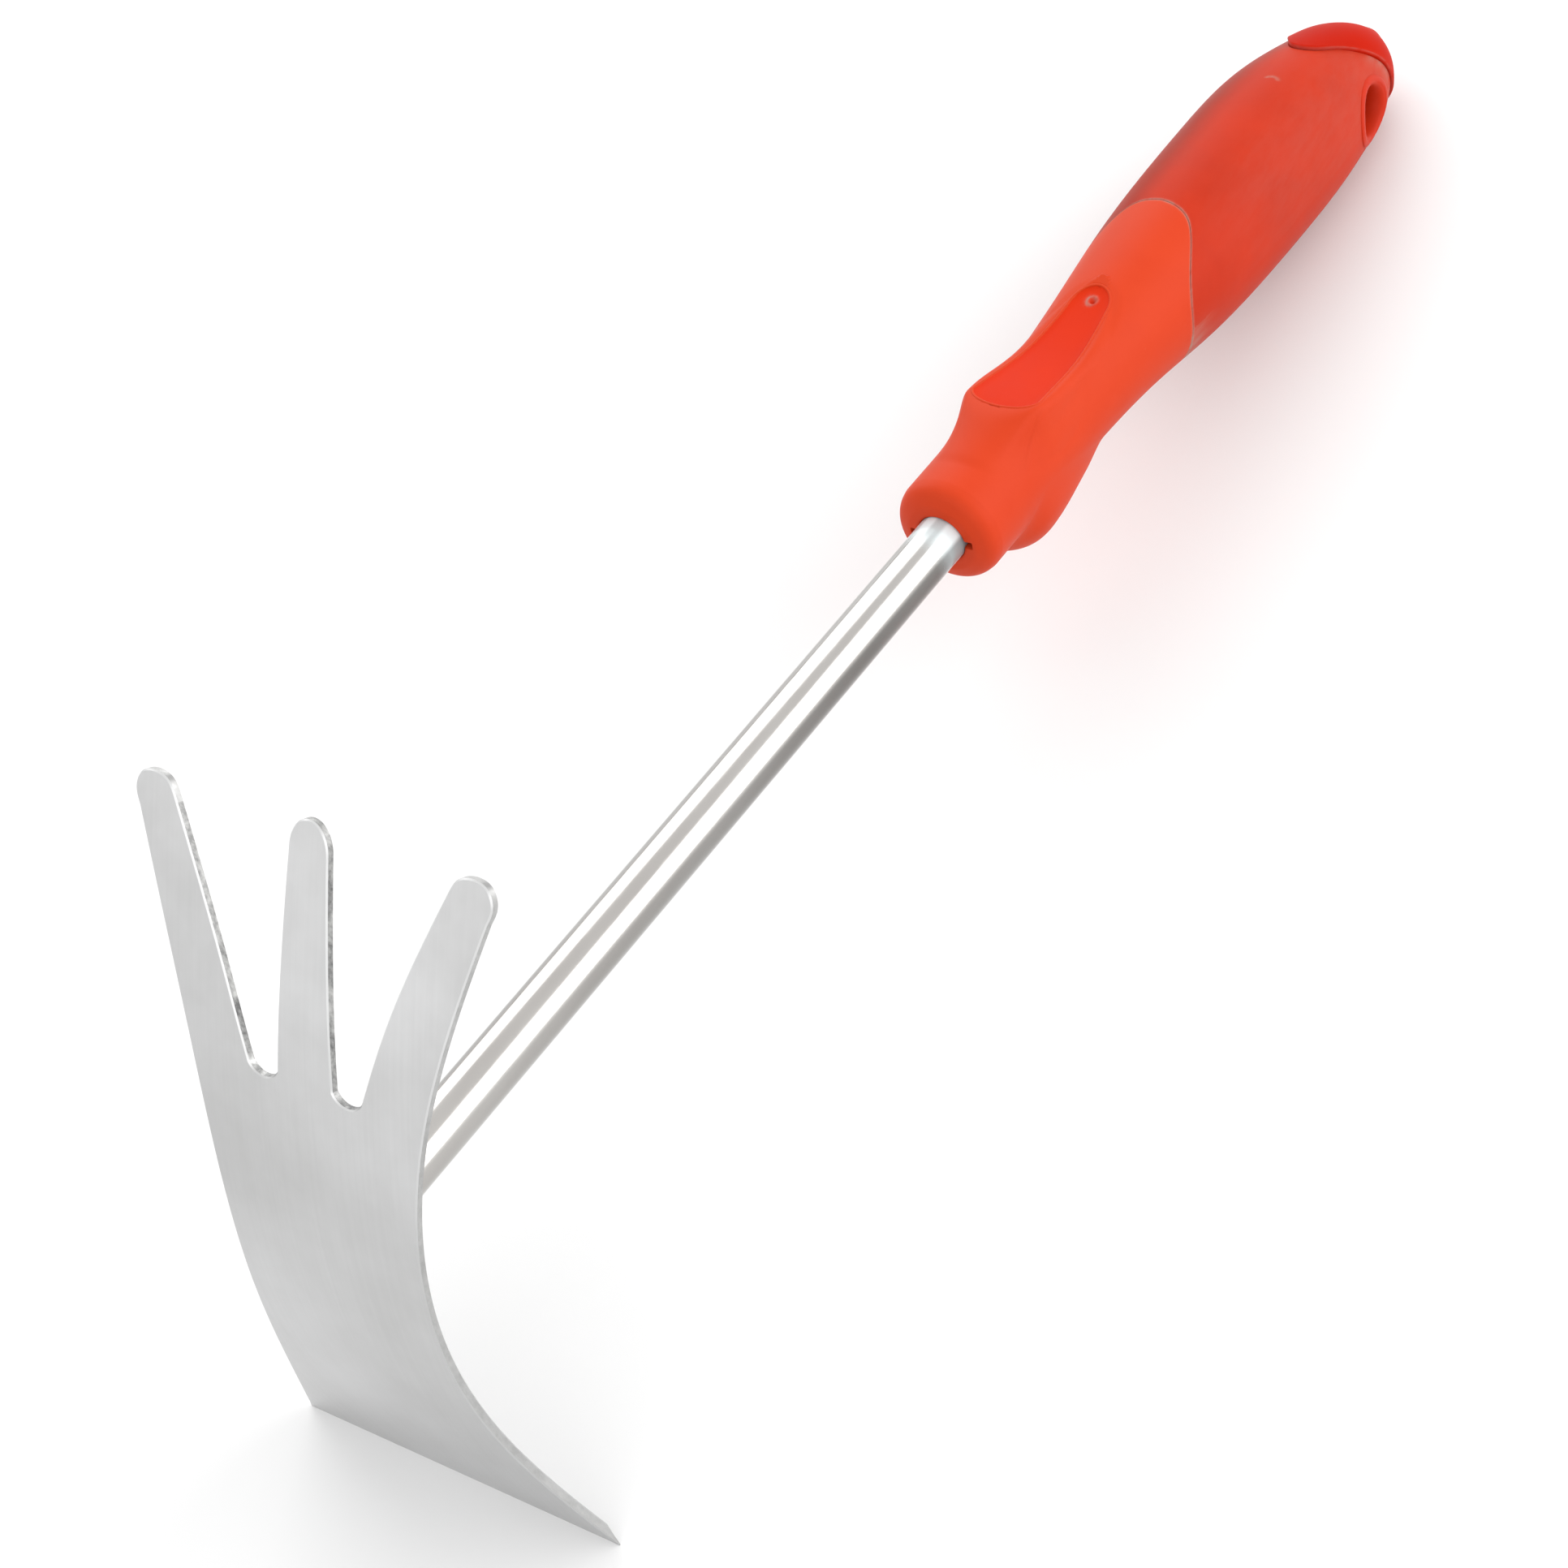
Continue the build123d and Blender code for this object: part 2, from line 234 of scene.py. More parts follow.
def bump(nodes, links, height, distance, strength=1.0, onto=None):
    node = nodes.new("ShaderNodeBump")
    node.inputs["Distance"].default_value = distance
    node.inputs["Strength"].default_value = strength
    links.new(height, node.inputs["Height"])
    if onto is not None:
        links.new(onto, node.inputs["Normal"])
    return node.outputs["Normal"]


def mix_colour(nodes, links, amount, a, b):
    """a and b are colours or sockets; amount is a number or a socket."""
    node = nodes.new("ShaderNodeMix")
    node.data_type = "RGBA"
    for name, value in (("Factor", amount), ("A", a), ("B", b)):
        index = {"Factor": 0, "A": 6, "B": 7}[name]
        if isinstance(value, bpy.types.NodeSocket):
            links.new(value, node.inputs[index])
        elif name == "Factor":
            node.inputs[index].default_value = value
        else:
            node.inputs[index].default_value = (*value, 1)
    return node.outputs[2]


def attribute(nodes, name):
    """A value carried by the mesh's own points."""
    node = nodes.new("ShaderNodeAttribute")
    node.attribute_name = name
    return node.outputs["Fac"]


def product(nodes, links, a, b):
    node = nodes.new("ShaderNodeMath")
    node.operation = "MULTIPLY"
    links.new(a, node.inputs[0])
    links.new(b, node.inputs[1])
    return node.outputs["Value"]


def brushed_steel(name, light, dark, grain=(40, 1100, 10), lines_weight=0.05):
    """Satin stainless: fine brush lines up the plate over slow cloudy changes, darkened by painted shade where
    a piece carries it.
    """
    material, nodes, links, shader, where = new_material(name)
    lines = noise(nodes, links, scaled(nodes, links, where, grain), 1.0, 6.0, 0.6)
    clouds = noise(nodes, links, where, 17.0, 5.0, 0.62)
    tone = mix_colour(nodes, links, grey_ramp(nodes, links, clouds, [(0.32, 0.0), (0.68, 1.0)]), dark, light)
    line_tone = grey_ramp(nodes, links, lines, [(0.3, 0.35), (0.7, 0.85)])
    tone = mix_colour(nodes, links, lines_weight, tone, line_tone)
    # painted shade: darkened towards black where the piece carries painted shade
    tone = mix_colour(nodes, links, attribute(nodes, "painted_shade"), tone, (0.0, 0.0, 0.0))
    links.new(tone, shader.inputs["Base Color"])
    shader.inputs["Metallic"].default_value = 1.0
    links.new(grey_ramp(nodes, links, clouds, [(0.3, 0.30), (0.7, 0.38)]), shader.inputs["Roughness"])
    fine = bump(nodes, links, lines, 0.00001, 0.25)
    links.new(bump(nodes, links, clouds, 0.0005, 0.25, fine), shader.inputs["Normal"])
    return material


def sheared_steel(name, dark, light, depth):
    """A blanked edge: short scratches through the sheet over patches of torn and burnished metal."""
    material, nodes, links, shader, where = new_material(name)
    scratches = noise(nodes, links, scaled(nodes, links, where, (900, 900, 500)), 1.0, 5.0, 0.7)
    patches = noise(nodes, links, where, 160.0, 3.0, 0.6)
    both = mix_colour(nodes, links, 0.5, scratches, patches)
    links.new(ramp(nodes, links, both, [(0.38, dark), (0.62, light)]), shader.inputs["Base Color"])
    shader.inputs["Metallic"].default_value = 1.0
    links.new(grey_ramp(nodes, links, scratches, [(0.3, 0.45), (0.7, 0.28)]), shader.inputs["Roughness"])
    links.new(bump(nodes, links, scratches, depth, 0.7), shader.inputs["Normal"])
    return material


def polished_steel(name):
    """Polished tube: near mirror, with faint draw lines, painted dark reflection bands, and a painted pale
    reflection at the handle where it stops being metallic.
    """
    material, nodes, links, shader, where = new_material(name)
    lines = noise(nodes, links, scaled(nodes, links, where, (4, 1300, 1300)), 1.0, 4.0, 0.6)
    clouds = noise(nodes, links, scaled(nodes, links, where, (12, 90, 90)), 1.0, 3.0, 0.55)
    haze_and_painted_reflection = attribute(nodes, "haze_and_painted_reflection")
    tone = ramp(nodes, links, clouds, [(0.3, (0.47, 0.45, 0.43)), (0.7, (0.54, 0.525, 0.505))])
    # painted reflection: the tube's end by the handle is painted pale
    tone = mix_colour(nodes, links, haze_and_painted_reflection, tone, PAINTED_TUBE_REFLECTION)
    # painted reflection: darker bands painted round the tube
    tone = mix_colour(nodes, links, attribute(nodes, "painted_shade"), tone, PAINTED_REFLECTION_DARK)
    links.new(tone, shader.inputs["Base Color"])
    links.new(grey_ramp(nodes, links, haze_and_painted_reflection, [(0.0, 1.0), (1.0, 0.0)]), shader.inputs["Metallic"])
    links.new(grey_ramp(nodes, links, lines, [(0.3, 0.12), (0.7, 0.18)]), shader.inputs["Roughness"])
    fine = bump(nodes, links, lines, 0.000006, 0.3)
    links.new(bump(nodes, links, clouds, 0.00012, 0.2, fine), shader.inputs["Normal"])
    return material


def moulded(name, colour, deeper, roughness, texture, gloss=0.3, scatter=0.0):
    """Moulded plastic or rubber: a fine eroded texture, slow changes of tone, dust where it gathers, and
    painted shade where a piece carries it.
    """
    material, nodes, links, shader, where = new_material(name)
    slow = noise(nodes, links, where, 38.0, 4.0, 0.6)
    fine = noise(nodes, links, where, 2600.0, 3.0, 0.6)
    streaks = noise(nodes, links, scaled(nodes, links, where, (90, 420, 420)), 1.0, 6.0, 0.7)
    specks = noise(nodes, links, where, 520.0, 5.0, 0.72)
    tone = mix_colour(nodes, links, grey_ramp(nodes, links, slow, [(0.3, 0.0), (0.7, 1.0)]), deeper, colour)
    tone = mix_colour(nodes, links, grey_ramp(nodes, links, specks, [(0.70, 0.0), (0.78, 0.22)]), tone, DUST)
    # painted shade: darkened where the piece carries painted shade
    tone = mix_colour(nodes, links, attribute(nodes, "painted_shade"), tone, GEL_PAINTED_SHADE)
    gathered = product(nodes, links, attribute(nodes, "dust"),
                       grey_ramp(nodes, links, streaks, [(0.30, 0.25), (0.62, 1.0)]))
    tone = mix_colour(nodes, links, gathered, tone, DUST)
    links.new(tone, shader.inputs["Base Color"])
    low, high = roughness
    links.new(grey_ramp(nodes, links, slow, [(0.3, low), (0.7, high)]), shader.inputs["Roughness"])
    shader.inputs["Specular IOR Level"].default_value = gloss
    shader.inputs["Subsurface Weight"].default_value = scatter
    shader.inputs["Subsurface Radius"].default_value = (1.0, 0.15, 0.08)
    shader.inputs["Subsurface Scale"].default_value = 0.002
    links.new(bump(nodes, links, fine, texture, 0.5), shader.inputs["Normal"])
    return material


plate_face = brushed_steel("plate_face_steel", (0.76, 0.762, 0.764), (0.63, 0.630, 0.627))
plate_edge = sheared_steel("plate_edge_steel", (0.40, 0.40, 0.395), (0.50, 0.50, 0.495), 0.00003)
notch_edge = sheared_steel("sheared_notch_steel", (0.14, 0.14, 0.14), (0.52, 0.52, 0.51), 0.00008)
weld_steel = brushed_steel("weld_steel_bead", (0.5, 0.48, 0.46), (0.3, 0.28, 0.26), (400, 400, 400), 0.25)
tube_steel = polished_steel("polished_tube_steel")
grip_plastic = moulded("front_grip_plastic", (0.545, 0.046, 0.012), (0.515, 0.040, 0.010), (0.42, 0.50),
                       texture=0.00003, gloss=0.08)
pad_rubber = moulded("thumb_pad_rubber", (0.56, 0.026, 0.004), (0.52, 0.022, 0.004), (0.50, 0.60),
                     texture=0.00005, gloss=0.05)
gel_rubber = moulded("gel_grip_rubber", (0.47, 0.029, 0.008), (0.40, 0.024, 0.007), (0.40, 0.50),
                     texture=0.00002, gloss=0.06, scatter=0.10)
cap_plastic = moulded("end_cap_plastic", (0.42, 0.009, 0.0), (0.39, 0.008, 0.0), (0.44, 0.52),
                      texture=0.00003, gloss=0.02)
ring_plastic = moulded("hang_ring_plastic", (0.47, 0.022, 0.004), (0.43, 0.019, 0.003), (0.40, 0.48),
                       texture=0.00003, gloss=0.10)
core_plastic = moulded("core_plastic_red", (0.30, 0.015, 0.005), (0.26, 0.012, 0.004), (0.5, 0.6),
                       texture=0.00003)

# ---- head plate -------------------------------------------------------------------------------------------
PLATE_T = 2.0
BLADE_Z = -81.0
BEVEL = 5.0
EDGE_LAND = 0.3
BREAK = 0.3                     # the rounding that tumbling leaves on the blanked edges
GRID = 3.0                      # spacing of the mesh over the plate's faces
PAINTED_SHADE_Z = (60.0, 10.0)          # painted shade: the plate's colour is darkened between these levels, down from the tines
FACE = [(-222.6, BLADE_Z), (-231.0, -45.0), (-233.3, -15.0), (-228.9, 16.0), (-216.8, 50.0), (-197.0, 89.0)]
SIDE_EDGE = [(41.8, BLADE_Z), (30.0, -47.0), (24.8, -3.0), (29.8, 42.0), (42.3, 80.5)]
OUTER_TIP = [SIDE_EDGE[-1], (43.4, 83.6), (42.2, 86.4), (38.6, 87.5), (34.8, 86.3), (33.1, 83.9)]
NOTCH_OUTER = [OUTER_TIP[-1], (20.6, 58.0), (14.1, 40.2)]
NOTCH_BOTTOM = (10.5, 38.2)
NOTCH_INNER = (6.9, 40.2)
MIDDLE_TIP_Z = 82.5
MIDDLE_TIP_HALF_W = 4.8
MIDDLE_TIP_RISE = 5.6

face_curve = spline(FACE, 2000)
face_slope = np.gradient(face_curve[:, 0], face_curve[:, 1])
face_run = np.r_[0, np.cumsum(np.linalg.norm(np.diff(face_curve, axis=0), axis=1))]


def on_plate(y, z, share):
    """The plate's point over (y, z) of its front view, share of the way through the sheet from its front."""
    x = np.interp(z, face_curve[:, 1], face_curve[:, 0])
    slope = np.interp(z, face_curve[:, 1], face_slope)
    run = np.interp(z, face_curve[:, 1], face_run)
    thick = np.minimum(PLATE_T, EDGE_LAND + run * (PLATE_T - EDGE_LAND) / BEVEL) * share
    length = np.sqrt(1 + slope ** 2)
    return np.c_[x + thick / length, y, z - thick * slope / length]


def plate_outline():
    """The front view's outline, anticlockwise from mid-blade, and where its notched part begins."""
    turn = np.linspace(0, math.pi / 2, 15)
    middle_tip = np.c_[MIDDLE_TIP_HALF_W * np.cos(turn), MIDDLE_TIP_Z + MIDDLE_TIP_RISE * np.sin(turn)]
    right = [np.array([(0, BLADE_Z)]), np.c_[np.linspace(3, SIDE_EDGE[0][0], 30), np.full(30, BLADE_Z)],
             spline(SIDE_EDGE, 190)[1:], spline(OUTER_TIP, 40)[1:],
             spline(NOTCH_OUTER, 54)[1:], arc(NOTCH_OUTER[-1], NOTCH_BOTTOM, NOTCH_INNER, 22)[1:],
             np.linspace(NOTCH_INNER, middle_tip[0], 46)[1:], middle_tip[1:]]
    notched = sum(len(part) for part in right[:4])
    right = np.concatenate(right)
    left = right[1:-1][::-1] * (-1, 1)
    return np.concatenate([right, left]), notched


def inset(outline, distance):
    """The outline moved inwards, with mitred corners."""
    ahead = np.roll(outline, -1, axis=0) - outline
    ahead /= np.linalg.norm(ahead, axis=1)[:, None]
    normal = np.c_[-ahead[:, 1], ahead[:, 0]]
    before = np.roll(normal, 1, axis=0)
    mitre = (normal + before) / (1 + (normal * before).sum(1))[:, None]
    return outline + mitre * distance


def filled(outline, spacing, extra=()):
    """Triangles inside a closed outline, on a grid with any extra points; the outline's points come first."""
    low, high = outline.min(axis=0), outline.max(axis=0)
    grid = np.meshgrid(np.arange(low[0], high[0], spacing), np.arange(low[1], high[1], spacing))
    inside = np.c_[grid[0].ravel(), grid[1].ravel()]
    if len(extra):
        near_extra = np.min(np.linalg.norm(inside[:, None] - extra[None], axis=2), axis=1) < 0.6 * spacing
        inside = np.concatenate([inside[~near_extra], extra])
    nearest = np.min(np.linalg.norm(inside[:, None] - outline[None], axis=2), axis=1)
    inside = inside[nearest > 0.45 * spacing]
    border = [(i, (i + 1) % len(outline)) for i in range(len(outline))]
    points = [Vector(p) for p in np.concatenate([outline, inside])]
    flat, _, triangles, _, _, _ = delaunay_2d_cdt(points, border, [list(range(len(outline)))], 1, 1e-5)
    return np.array([tuple(p) for p in flat]), triangles, border


def make_head_plate():
    outline, notched = plate_outline()
    count = len(outline)
    flat, triangles, border = filled(inset(outline, BREAK), GRID)
    size = len(flat)
    break_share = np.minimum(BREAK / PLATE_T, 0.35)
    rows = [on_plate(*flat.T, 0.0), on_plate(*flat.T, 1.0),
            on_plate(*outline.T, break_share), on_plate(*outline.T, 1 - break_share)]
    front, back, rim_front, rim_back = 0, size, 2 * size, 2 * size + count
    faces = [tuple(front + i for i in reversed(t)) for t in triangles]
    faces += [tuple(back + i for i in t) for t in triangles]
    kinds = [0] * len(faces)
    for a, b, is_rim in ((front, rim_front, False), (rim_front, rim_back, True), (rim_back, back, False)):
        for i, j in border:
            faces.append((a + i, a + j, b + j, b + i))
            kinds.append((2 if notched <= i < count - notched else 1) if is_rim else 0)
    piece = piece_from("head_plate_detailed", np.concatenate(rows), faces,
                       [plate_face, plate_edge, notch_edge], ["head_plate"], kinds)
    # painted shade: the plate darkened from the tines down towards the blade
    heights = tool_points(piece)[:, 2]
    layer = piece.data.attributes.new("painted_shade", "FLOAT", "POINT")
    layer.data.foreach_set("value", (0.2 * smoothstep(*PAINTED_SHADE_Z, heights)).astype(np.float32))
    sharpen(piece, 28)


# ---- shaft ------------------------------------------------------------------------------------------------
TUBE_R = 6.0
BORE_R = 4.8
TUBE_END_X = 84.0
LUG_X = (9.0, 23.0)             # the lugs that key the tube in the handle
LUG_HALF_T = 1.1
LUG_REACH = 2.2
PAINTED_REFLECTION_X = (-13.0, -6.0)          # the tube turns from mirror to a painted pale reflection, not metallic, between these
WELD_LEG = 3.6


def behind_plate(z):
    """X of the plate's back face at a level."""
    x = np.interp(z, face_curve[:, 1], face_curve[:, 0])
    slope = np.interp(z, face_curve[:, 1], face_slope)
    return x + PLATE_T * np.sqrt(1 + slope ** 2)


def make_shaft():
    columns = 144
    theta = np.linspace(0, 2 * np.pi, columns, endpoint=False)
    rows = []
    for radius, shares in ((TUBE_R, np.linspace(0, 1, 160)), (BORE_R, np.linspace(1, 0, 12))):
        start = behind_plate(radius * np.sin(theta)) + 0.02
        for share in shares:
            x = start + (TUBE_END_X - start) * share
            along = smoothstep(LUG_X[0], LUG_X[0] + 1, x) * smoothstep(LUG_X[1], LUG_X[1] - 1, x)
            across = smoothstep(LUG_HALF_T, LUG_HALF_T - 0.3, np.abs(radius * np.sin(theta)))
            r = radius + (LUG_REACH * along * across if radius == TUBE_R else 0)
            rows.append(np.c_[x, r * np.cos(theta), r * np.sin(theta)])
    piece = piece_from("shaft_tube_polished", np.concatenate(rows), ring_faces(len(rows), columns, True),
                       tube_steel, ["shaft_tube"])
    # painted reflection: the tube's end by the handle painted pale and made non-metallic
    store(piece, "haze_and_painted_reflection", lambda x, angle: smoothstep(*PAINTED_REFLECTION_X, x))
    # painted reflection: dark bands painted round the tube
    store(piece, "painted_shade", shaft_painted_reflections)
    sharpen(piece, 35)


def shaft_painted_reflections(x, angle):
    """Painted dark reflections on the tube: low on its near side and most by the handle, along its far side,
    and over its top where its end is painted pale.
    """
    degrees = np.degrees(angle) % 360
    low_side = smoothstep(150, 164, degrees) * smoothstep(214, 200, degrees)
    far_side = smoothstep(42, 52, degrees) * smoothstep(68, 60, degrees)
    middle = smoothstep(86, 95, degrees) * smoothstep(122, 112, degrees) * smoothstep(*PAINTED_REFLECTION_X, x)
    return low_side * np.clip(0.12 + 0.50 * (x + 205) / 170, 0.1, 0.6) + 0.35 * far_side + 0.32 * middle


def make_weld():
    """A bead of overlapping ripples in the corner between tube and plate."""
    columns = 240
    theta = np.linspace(0, 2 * np.pi, columns, endpoint=False)
    ripple = 0.16 * np.abs(np.sin(theta * 17)) + 0.08 * np.sin(theta * 5 + 1)
    rows = []
    for turn in np.linspace(0, np.pi / 2, 9):
        leg = WELD_LEG + ripple
        out = 1 - np.sin(turn)
        up = 1 - np.cos(turn)
        radius = TUBE_R + leg * up * 0.98 + 0.45 * np.sin(2 * turn)
        x = behind_plate(radius * np.sin(theta)) + leg * out * 0.98 + 0.45 * np.sin(2 * turn)
        rows.append(np.c_[x, radius * np.cos(theta), radius * np.sin(theta)])
    radius = TUBE_R - 0.2
    x = behind_plate(radius * np.sin(theta)) - 0.1
    rows.append(np.c_[x, radius * np.cos(theta), radius * np.sin(theta)])
    piece_from("weld_bead_rippled", np.concatenate(rows), ring_faces(len(rows), columns, True),
               weld_steel, ["weld_bead"])


# ---- handle -----------------------------------------------------------------------------------------------
COLLAR_END_X = 3.0
COLLAR_R = 13.3
# the front face: X and radius, from the tube's mouth out over the rounded rim
COLLAR = [
    (-1.5, 6.08), (-1.75, 6.35), (-1.8, 7.2), (-1.7, 8.6), (-1.25, 10.0), (-0.6, 11.4), (0.7, 12.65),
    (COLLAR_END_X, COLLAR_R),
]
MOUTH_END_X = 6.0
KEYWAY_HALF_H = 1.0
KEYWAY_REACH = 8.3
KEYWAY_DEPTH = 4.0
# the round body: X, radius, and how far its middle stands above the shaft's
BODY = [
    (COLLAR_END_X, 13.3, 0), (20, 13.3, 0), (36, 13.4, 0.2), (56, 14.2, 0.85), (76, 15.8, 1.3),
    (99, 18.4, 1.05), (120, 19.7, 1.0), (143, 20.1, 1.1), (165, 19.6, 0.9), (176, 18.4, 0.2), (188, 16.4, -0.9),
    (198, 13.5, -1.2), (206, 9.2, -1.1), (211.5, 4.8, -0.8), (214.6, 1.4, -0.6), (215.0, 0, -0.6),
]
GUARD_DROP = 7.5                # the finger guard's middle, below the shaft's; then its X and radius
GUARD = [
    (10.5, 0), (13, 6.6), (17, 10.6), (22, 12.9), (28, 13.2), (34, 12.6), (42, 11.4), (50, 9.9), (58, 6.9),
]
# the thumb ramp: a front face from its foot on the collar up to its ridge, both swept back at the sides, then
# the dish
RAMP_X = 27.0
RIDGE_Z = 17.3
RIDGE_SWEEP = 3.5               # how much further back the ridge is at SWEEP_HALF_W from the middle
FOOT_X = 12.0
FOOT_SWEEP = 9.0
SWEEP_HALF_W = 10.0
SWEEP_END_Y = 11.5
RIDGE_ROUND = 1.8
DISH = [(RAMP_X, 17.1), (36, 15.6), (45, 14.0), (53, 13.15), (60, 13.4), (68, 14.5), (75, 16.4), (79, 18.2)]
RAMP_HALF_W = [(12, 10.2), (28, 10.3), (36, 10.8), (45, 10.2), (57, 9.2), (66, 7.5), (75, 4.0), (79, 0.5)]
FLANK_LEAN = 0.16
RAMP_ROUND = 3.0                # rounding between the ramp's top and its flanks
FILLET = 2.2                    # rounding where the ramp meets the round body
GUARD_FILLET = 2.2
PAD_X = (27.6, 32.5, 69.5, 76.0)        # its front, the ends of its straight sides, and its back
PAD_HALF_W = (8.9, 5.3)
PAD_T = 1.3
POCKET_DEPTH = 1.1              # how far the front grip is sunk to take the pad
GATE_MARK = (71.7, -0.4)
GRIP_WALL = 2.8
GRIP_BORE_R = 9.8
GEL_WALL = 2.6
# where the front grip ends: degrees above the side, and X
SEAM = [
    (-90, 86.8), (-45, 86.8), (0, 86.9), (23, 89.0), (41, 94.0), (53, 99.5), (64, 104.2), (76, 106.5),
    (90, 107.3),
]
# where the end cap begins, in side view: X and Z
CAP_BORDER = [
    (171.0, 22.5), (177.6, 18.4), (184.7, 15.0), (191.9, 9.7), (196.6, 4.0), (199.0, -4.0), (201.0, -20.0),
]
CAP_PROUD = 1.0
CAP_WALL = 3.0
RING_HALF = (10.5, 8.4)         # the hang ring's outline, along X and Z
RING_MOUTH_HALF = (8.3, 6.7)
FLARE_END_Y = 8.0               # where the hang ring's flares end and its round bore begins
SCUFF = (160.0, 95.0)           # where the gel is scuffed: X, and degrees round from the far side
FAR = 30.0                      # more than the handle reaches out anywhere
HANG_R = 5.0                    # the hang hole's round bore

body_curve = spline(BODY, 4000)
body_run = np.linspace(0, 1, len(body_curve))
guard_curve = spline(GUARD, 800)
dish_curve = spline(DISH, 800)
half_curve = spline(RAMP_HALF_W, 800)
seam_curve = spline(SEAM, 800)
cap_curve = spline(CAP_BORDER, 800)


def columns():
    """Angles round the handle, closest together at its sides and over its top."""
    steps = ((-90, -14, 1.6), (-14, 14, 0.7), (14, 30, 1.0), (30, 150, 0.75), (150, 166, 1.0), (166, 194, 0.7),
             (194, 270, 1.6))
    return np.radians(np.concatenate([np.arange(start, end, step) for start, end, step in steps]))


def body_at(x):
    """The round body's radius, and how far its middle stands above the shaft's."""
    radius, rise = (np.interp(x, body_curve[:, 0], body_curve[:, i]) for i in (1, 2))
    return radius, rise


def ramp_level(x, y):
    """Level of the thumb ramp's top over a point of its plan."""
    y = np.abs(y)
    swept_back = np.clip(y, 0, SWEEP_END_Y) / SWEEP_HALF_W
    foot_x = FOOT_X + FOOT_SWEEP * swept_back ** 3
    foot_z = np.sqrt(np.clip(COLLAR_R ** 2 - y ** 2, 0, None))
    ridge_x = RAMP_X + RIDGE_SWEEP * swept_back ** 2
    front = foot_z + (RIDGE_Z - foot_z) * (x - foot_x) / (ridge_x - foot_x)
    fall = (DISH[0][1] - DISH[1][1]) / (DISH[1][0] - RAMP_X)
    dish = np.interp(x, dish_curve[:, 0], dish_curve[:, 1]) + fall * np.clip(RAMP_X - x, 0, None)
    return blend_min(front, dish, RIDGE_ROUND)


def pad_half_width(x):
    """Half of the pad's width in plan: straight sides between two elliptic ends."""
    front, sides, sides_end, back = PAD_X
    width = np.interp(x, (sides, sides_end), PAD_HALF_W)
    width = width * np.sqrt(np.clip(1 - (np.clip(sides - x, 0, None) / (sides - front)) ** 2, 0, 1))
    return width * np.sqrt(np.clip(1 - (np.clip(x - sides_end, 0, None) / (back - sides_end)) ** 2, 0, 1))


def outer_radius(x, theta):
    """The handle's surface: radius at x, at an angle from +Y towards +Z."""
    x = x * np.ones_like(theta)
    sin, cos = np.sin(theta), np.cos(theta)
    body, rise = body_at(x)
    circle = rise * sin + np.sqrt(np.clip(body ** 2 - (rise * cos) ** 2, 0, None))
    # thumb ramp: where a ray from the shaft's line meets its top and its leaning flanks, with rounded meetings
    half = np.interp(x, half_curve[:, 0], half_curve[:, 1])
    low, high = np.zeros_like(x), np.full_like(x, FAR)
    for _ in range(24):
        middle = (low + high) / 2
        under = middle * sin < ramp_level(x, np.minimum(np.abs(middle * cos), half))
        low, high = np.where(under, middle, low), np.where(under, high, middle)
    side_angle = np.arctan2(sin, np.abs(cos))
    flank = (half + FLANK_LEAN * ramp_level(x, half)) / np.clip(np.abs(cos) + FLANK_LEAN * sin, 0.05, None)
    flank = np.where(side_angle > 0, flank, 0)
    roof = np.where(side_angle > 0.05, low, FAR)
    rounding = np.interp(x, (55, 70, 79), (RAMP_ROUND, 1.6, 0.3))
    foot = 0.05 + FILLET * smoothstep(0.15, 0.6, side_angle)
    front = blend_max(circle, blend_min(roof, flank, rounding), foot * smoothstep(8, 13, x) + 0.01)
    back = blend_min(roof, blend_max(circle, flank, foot * smoothstep(75, 60, x) + 0.01), rounding)
    ramped = front + (back - front) * smoothstep(RAMP_X - 3, RAMP_X + 3, x)
    ramped = np.where((side_angle > 0) & (x > 8) & (x < DISH[-1][0]), ramped, circle)
    # finger guard
    guard = np.interp(x, guard_curve[:, 0], guard_curve[:, 1], left=0, right=0)
    reach = np.clip(guard ** 2 - (GUARD_DROP * cos) ** 2, 0, None)
    below = np.where(guard > GUARD_DROP * np.abs(cos), -GUARD_DROP * sin + np.sqrt(reach), 0)
    return blend_max(ramped, below, GUARD_FILLET)


def seam_x(theta):
    """Where the front grip ends, at an angle round the handle."""
    around = np.degrees(np.arcsin(np.clip(np.sin(theta), -1, 1)))
    return np.interp(around, seam_curve[:, 0], seam_curve[:, 1])


def cap_x(theta):
    """Where the end cap begins, at an angle round the handle."""
    low, high = np.full_like(theta, 165.0), np.full_like(theta, BODY[-1][0])
    for _ in range(30):
        x = (low + high) / 2
        body, rise = body_at(x)
        ahead = x < np.interp(-(body * np.sin(theta) + rise), -cap_curve[:, 1], cap_curve[:, 0])
        low, high = np.where(ahead, x, low), np.where(ahead, high, x)
    return low


def around(x, radius, theta):
    """A ring of points round the shaft's line."""
    return np.c_[x * np.ones_like(theta), radius * np.cos(theta), radius * np.sin(theta)]


def rolled(distance, width):
    """How far a surface has rolled in at a distance from its edge."""
    d = np.clip(distance, 0, width)
    return width - np.sqrt(np.clip(width ** 2 - (width - d) ** 2, 0, None))


def dust(piece, amount):
    """How thickly pale dust lies on a moulded piece."""
    store(piece, "dust", amount)


